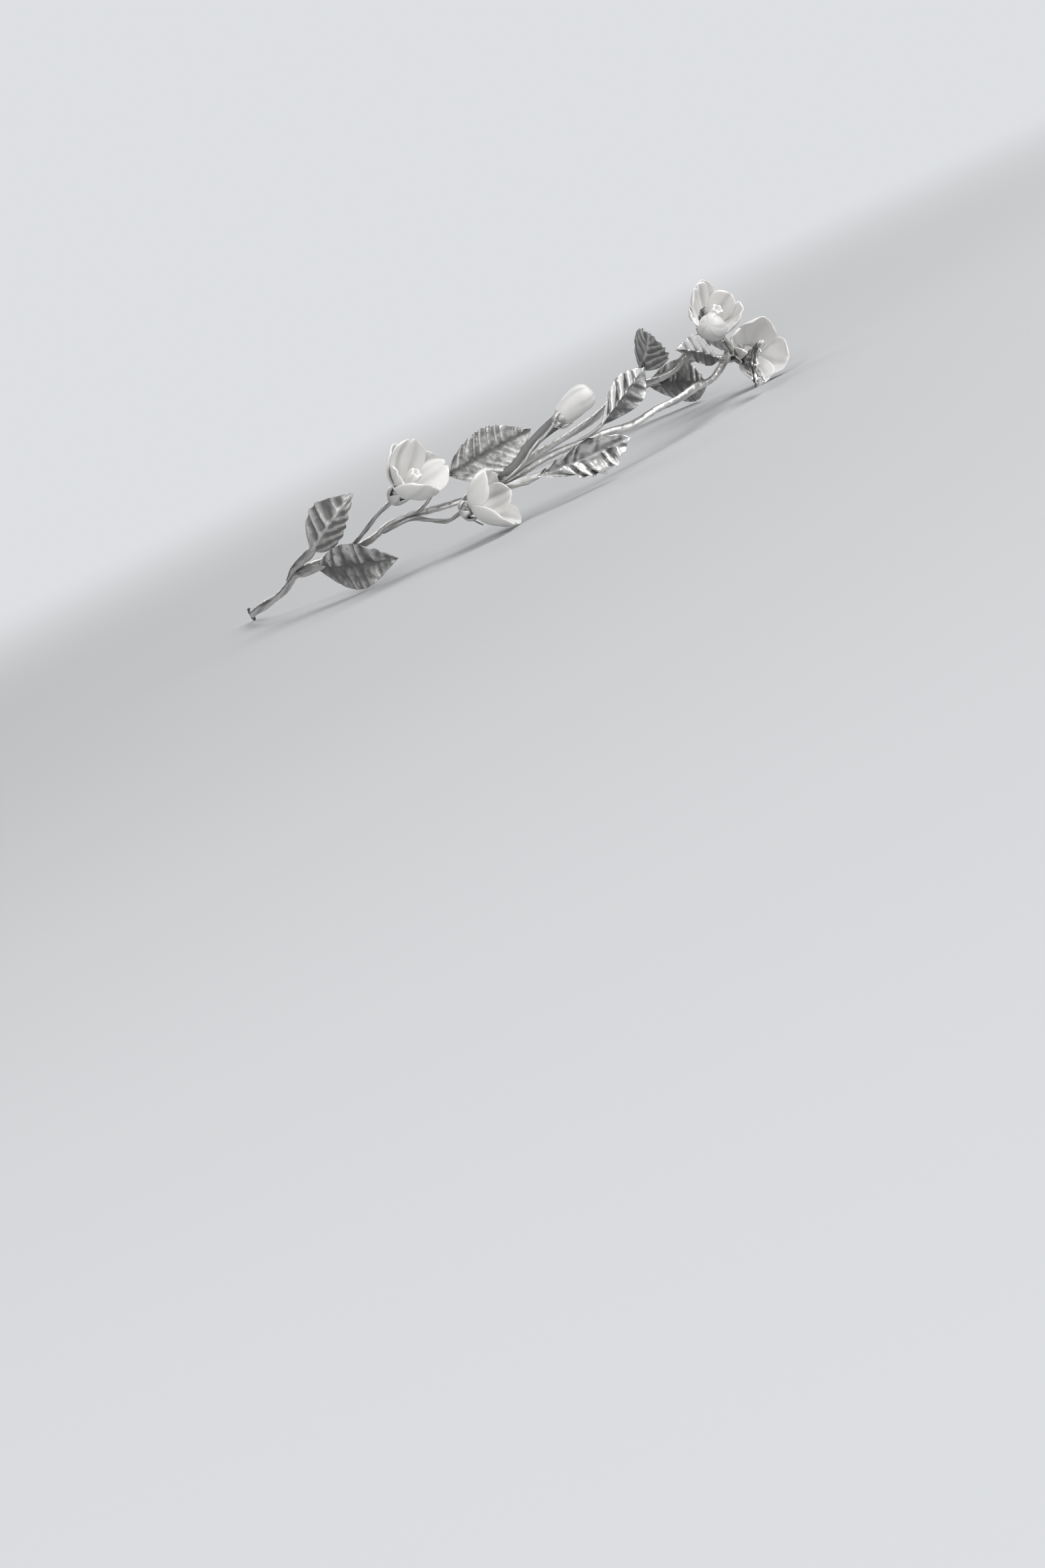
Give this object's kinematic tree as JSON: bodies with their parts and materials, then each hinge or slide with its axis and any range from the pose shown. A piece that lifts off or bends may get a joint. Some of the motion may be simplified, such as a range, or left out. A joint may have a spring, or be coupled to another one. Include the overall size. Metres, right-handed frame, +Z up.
{
  "type": "bridal headband",
  "caption": "Open oval headband of wrapped silver wire with mirrored sprays of pressed silver leaves, white clay flowers and buds, and wire loops at its ends.",
  "frame": {"origin": "middle of the underside of the whole headband's box, on the surface that it lies on", "axes": "+Z up from the surface, -Y to the front of the head, -X to the wearer's right; the headband is the mirror image of itself in X = 0"},
  "size_m": [0.16, 0.1668, 0.0355],
  "materials": {
    "wrapped_wire": "satin silver binding wound round a bundle of wires",
    "stem_wire": "satin silver binding, slightly darker in its grooves",
    "bare_wire": "bare drawn wire, darkened",
    "pressed_leaf": "silver plated pressed metal with ribs and pits, half bright",
    "petal": "white modelling clay, smooth and satin"
  },
  "bodies": {
    "root": {"band": "wrapped_wire", "right_end_loop": "bare_wire", "right_leaf_a": "pressed_leaf", "right_leaf_b": "pressed_leaf", "right_leaf_c": "pressed_leaf", "right_leaf_d": "pressed_leaf", "right_leaf_e": "pressed_leaf", "right_flower_1": "petal", "right_flower_1_stem": "stem_wire", "right_flower_2": "petal", "right_flower_2_stem": "stem_wire", "right_bud": "petal", "right_bud_stem": "stem_wire", "left_end_loop": "bare_wire", "left_leaf_a": "pressed_leaf", "left_leaf_b": "pressed_leaf", "left_leaf_c": "pressed_leaf", "left_leaf_d": "pressed_leaf", "left_leaf_e": "pressed_leaf", "left_flower_1": "petal", "left_flower_1_stem": "stem_wire", "left_flower_2": "petal", "left_flower_2_stem": "stem_wire", "left_bud": "petal", "left_bud_stem": "stem_wire"}
  },
  "joints": []
}
